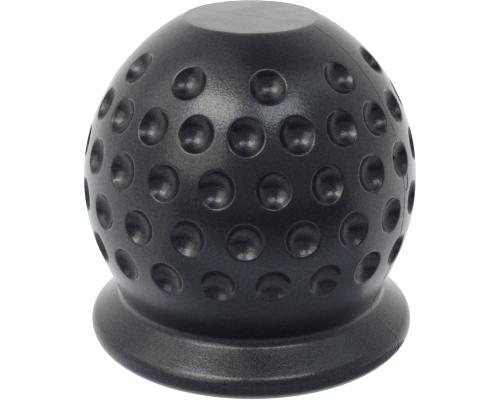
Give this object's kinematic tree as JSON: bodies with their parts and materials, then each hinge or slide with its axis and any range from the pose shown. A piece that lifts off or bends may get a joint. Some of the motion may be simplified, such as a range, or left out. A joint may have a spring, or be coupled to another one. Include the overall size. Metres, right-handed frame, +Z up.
{
  "type": "tow ball cover",
  "caption": "Moulded rubber cover for a tow ball: a dimpled ball with a flat top on a flared skirt, hollow below with a round socket behind a gripping throat.",
  "frame": {"origin": "centre of the base ring, on the plane that the cover stands on", "axes": "+Z up along the axis of the cover, XZ is the mould parting plane"},
  "size_m": [0.0622, 0.0622, 0.061],
  "materials": {
    "rubber": "satin black moulded rubber with a fine grain"
  },
  "bodies": {
    "root": {"tow_ball_cover": "rubber"}
  },
  "joints": []
}
